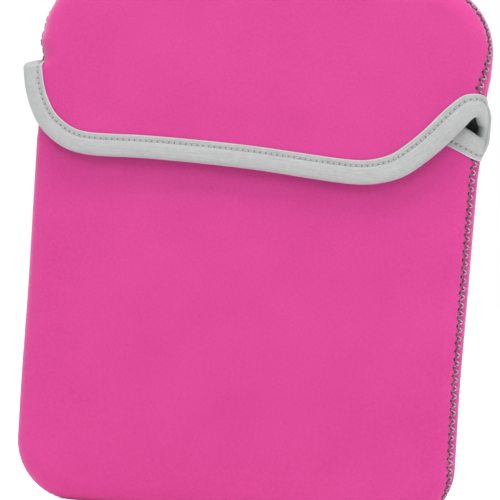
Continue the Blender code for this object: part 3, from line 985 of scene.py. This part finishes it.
def stitches(name, points, normals, gone, height):
    """Short stitches along a tape, each arched a little and diving at its ends."""
    base, normal = on_bed(points, STITCH_IN), on_bed(normals, STITCH_IN)
    dive = 0.00052 if height > 0 else -0.00042
    arch = np.sin(np.linspace(0, math.pi, 9)) ** 0.7
    lines, ups = [], []
    for number in range(math.ceil(gone[0] / LOCK_PITCH), int(gone[-1] / LOCK_PITCH)):
        at = (number + np.linspace(0.12, 0.88, 9)) * LOCK_PITCH
        up = read_along(at, gone, normal)
        lines.append(read_along(at, gone, base) + up * (height + dive * (arch - 1))[:, None])
        ups.append(up)
    piece = tubes(name, lines, ups, LOCK_THREAD, LOCK_LOOK, 6)
    return piece


def ring_path():
    """The back's free edge in the right corner, where the tape's loop shows."""
    z = np.arange(0.1890, 0.2165, PATH_STEP)
    proud = 0.0010 - 0.0012 * smooth((0.1915 - z) / 0.0025) - 0.0015 * smooth((z - 0.2140) / 0.0025)
    return np.stack([side_width(1, z) + UNROLLED + ROLL * RING_ANGLE * DEGREE + proud, z], 1)


def tape_runs():
    """The tape's five stretches, each as its bed's points and normals."""
    share = np.interp(FLAP_PATH[:, 0], FLAP_TAPE_X, FLAP_TAPE_SHARE)
    flap_bed = bed(tape_front, FLAP_PATH, 1, share=share)
    mouth_bed = bed(pocket_front, MOUTH_PATH, -1)
    backwards = tuple(part[::-1] for part in flap_bed)
    right_bridge = bridge(mouth_bed, backwards, 3, 0.0026)
    swing = np.linspace(0.0125, 0.0100, len(ACROSS_TAPE))[:, None]
    left_bridge = bridge(backwards, mouth_bed, 12, swing)
    ring_bed = bed(back_surface, ring_path(), 1, -1)
    left_half = MOUTH_PATH[: len(MOUTH_PATH) // 2]
    left_cut = int(np.argmin(np.abs(left_half[:, 1] - LIP_LEFT_Z)))
    right_cut = int(np.argmax(MOUTH_PATH[:, 0] > LIP_RIGHT_X))
    return {
        "lip_tape": [part[left_cut : right_cut + 1] for part in mouth_bed],
        "corner_tape_right": [
            np.concatenate([part[right_cut:], arc, end[:1]])
            for part, arc, end in zip(mouth_bed, right_bridge, backwards)
        ],
        "corner_ring_right": list(ring_bed),
        "flap_tape": list(flap_bed),
        "corner_tape_left": [
            np.concatenate([end[-1:], arc, part[: left_cut + 1]])
            for part, arc, end in zip(mouth_bed, left_bridge, backwards)
        ],
    }


def build_tape():
    """The tape and its two rows of lockstitch, in five stretches round the mouth."""
    replaced = {
        "lip_tape": ["front_lip_binding"],
        "flap_tape": ["flap_binding"],
        "corner_tape_right": ["corner_loop_right_lower"],
        "corner_ring_right": ["corner_loop_right_upper"],
        "corner_tape_left": ["corner_loop_left_lower", "corner_loop_left_upper"],
    }
    threads = {"lip_tape": "front_lip_binding", "flap_tape": "flap_binding"}
    for name, (points, normals) in tape_runs().items():
        turned_round = name in ("flap_tape", "corner_ring_right")
        sections, uv, gone, width = tape_sections(points, normals)
        if turned_round:
            sections, uv = sections[:, ::-1], uv[:, ::-1]
        piece = sweep(name, sections, uv, TAPE_LOOK)
        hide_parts(*replaced[name])
        needle = stitches(f"{name}_needle_stitches", points, normals, gone, NEEDLE_RISE)
        bobbin = stitches(f"{name}_bobbin_stitches", points, normals, gone, -LAMINATE - BOBBIN_DROP)
        if name in threads:
            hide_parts(f"{threads[name]}_needle_thread")
            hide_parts(f"{threads[name]}_bobbin_thread")
        for made in (piece, needle, bobbin):
            if name == "lip_tape":
                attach(made, "pocket")
            elif name == "flap_tape":
                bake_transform(made)
            else:
                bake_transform(made)


# ---------------- seams


def outline_walk(low, high):
    """The unrolled outline from left to right, round the top or the bottom, between two heights."""
    way = 1 if high > CREASE_Z else -1
    corner = {-1: BOTTOM_CORNER, 1: TOP_CORNER}[way] + UNROLLED
    end = HEIGHT + UNROLLED if way > 0 else -UNROLLED
    start = low if way > 0 else high
    z = np.linspace(start, end - way * corner, 60)
    turn = np.linspace(0, math.pi / 2, 40)[1:]
    halves = []
    for hand in (1, -1):
        side = np.stack([side_width(hand, z) + UNROLLED, z], 1)
        centre = (side_width(hand, z)[-1] + UNROLLED - corner, end - way * corner)
        arc = np.stack([corner * np.cos(turn), way * corner * np.sin(turn)], 1) + centre
        halves.append(np.vstack([side, arc, [(0.03, end)]]) * np.array([hand, 1]))
    return np.vstack([halves[1], [(0, end)], halves[0][::-1]])


def seam_line(low, high):
    """The seam's line, unrolled, between two heights."""
    path = outline_walk(low, high)
    _, out_x, out_z = outline_frame(path[:, 0], path[:, 1], LOOP)
    shift = ROLL * seam_angle(path[:, 0], path[:, 1])
    moved = np.stack([path[:, 0] - out_x * shift, path[:, 1] - out_z * shift], 1)
    return even_path(moved, 0.0007, smoothing=4)


def build_seam(name, low, high, body, hand):
    """A zigzag over a seam, and the thread that locks it inside. hand swaps its ends darkened by painted
    shade with its pale ones.
    """
    path = seam_line(low, high)
    across = turned(path, hand)
    gone = lengths_along(path)
    count = int(gone[-1] / ZIGZAG_PITCH)
    pitch = gone[-1] / count

    def at(run, off):
        x, z = (read_along(run, gone, path) + read_along(run, gone, across) * off[:, None]).T
        return pocket_front(x, z), normals_of(pocket_front, x, z)

    leg = np.linspace(0, 1, 9)[:-1]
    arch = np.sin(leg * math.pi)
    leg_lift = 0.00036 * arch**0.55 - 0.00030 * (1 - arch**0.5)
    lean = 0.54  # the outward leg's share of a zigzag
    runs, offs, lifts = [], [], []
    for number in range(count):
        for start, long, sign in ((0, lean, 1), (lean, 1 - lean, -1)):
            runs.append((number + start + leg * long) * pitch)
            offs.append(sign * SWING * (1 - 2 * leg))
            lifts.append(leg_lift)
    run, off, lift = np.concatenate(runs), np.concatenate(offs), np.concatenate(lifts)
    points, normals = at(run, off)
    line = points + normals * lift[:, None]
    phase = run / pitch
    outer = tubes(f"{name}_outer_stitches", [line], [normals], SEAM_THREAD, ZIGZAG_LOOK, 8, [phase])
    arch = np.sin(np.linspace(0, math.pi, 7)) ** 0.7
    lines, ups = [], []
    for number in range(int(gone[-1] / INNER_PITCH)):
        run = (number + np.linspace(0.08, 0.92, 7)) * INNER_PITCH
        points, normals = at(run, np.zeros_like(run))
        lines.append(points - normals * (LAMINATE + 0.0001 + 0.0002 * arch)[:, None])
        ups.append(normals)
    inner = tubes(f"{name}_inner_stitches", lines, ups, SEAM_THREAD * 0.8, ZIGZAG_LOOK, 6)
    for piece, node in ((outer, f"{name}_outer_thread"), (inner, f"{name}_inner_thread")):
        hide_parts(node)
        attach(piece, body)


build_panels()
build_tape()
build_seam("pocket_seam", 0, POCKET_SEAM_TOP, "pocket", -1)
build_seam("hood_seam", HOOD_SEAM_BASE, HEIGHT, "hood", 1)

# ---------------- floor, backdrop and light


AMBIENT = 0.33  # the white surroundings, as light; to the camera they are pure white
FLOOR_GLOW = (0.12, 0.70)  # the floor's own light, on the object and to the camera
FLOOR_REACH = 3.0


def floor_material():
    """Plain white, hardly mottled, that glows a little."""
    nodes = Nodes(
        "studio_floor", Roughness=0.9, Specular_IOR_Level=0.1, Emission_Color=linear(255, 255, 255)
    )
    seen = nodes.add("ShaderNodeLightPath").node.outputs["Is Camera Ray"]
    glow = nodes.ramp(seen, 0, 1, *FLOOR_GLOW)
    nodes.tree.links.new(glow, nodes.shader.inputs["Emission Strength"])
    faint = nodes.ramp(nodes.noise(nodes.coords(), 6, 2.0), 0.3, 0.7)
    return nodes.finish(nodes.blend(faint, linear(250, 250, 250), linear(252, 252, 252)))


def build_studio():
    """A white floor, white surroundings and five soft lamps."""
    corners = np.array([(-1, -1, 0), (1, -1, 0), (1, 1, 0), (-1, 1, 0)], float) * FLOOR_REACH
    floor = new_mesh("studio_floor", corners, [(0, 1, 2, 3)], None, [floor_material()])
    world = bpy.data.worlds.new("studio")
    world.use_nodes = True
    tree = world.node_tree
    around = tree.nodes["Background"]
    around.inputs["Color"].default_value = (1, 1, 1, 1)
    seen = tree.nodes.new("ShaderNodeLightPath").outputs["Is Camera Ray"]
    strength = tree.nodes.new("ShaderNodeMapRange")
    strength.inputs["To Min"].default_value = AMBIENT
    tree.links.new(seen, strength.inputs["Value"])
    tree.links.new(strength.outputs[0], around.inputs["Strength"])
    bpy.context.scene.world = world
    for name, place, aim, size, power in (
        ("key", (-0.15, -0.85, 0.9), (0, 0, 0.15), 0.6, 3.9),
        ("overhead", (0, -0.33, 1.4), (0, 0, 0.15), 0.45, 11.0),
        ("behind", (0.5, 1.3, 1.0), (0, 0, 0.13), 0.8, 9.0),
        ("rim_left", (-1.0, -0.1, 0.5), (0, 0, 0.13), 0.5, 2.4),
        ("rim_right", (1.0, -0.2, 0.5), (0, 0, 0.13), 0.5, 3.4),
    ):
        light = bpy.data.lights.new(name, "AREA")
        light.size, light.energy = size, power
        lamp = bpy.data.objects.new(name, light)
        lamp.location = place
        lamp.rotation_euler = (Vector(aim) - Vector(place)).to_track_quat("-Z", "Y").to_euler()
        bpy.context.scene.collection.objects.link(lamp)
    bpy.context.scene.view_settings.view_transform = "Standard"


build_studio()
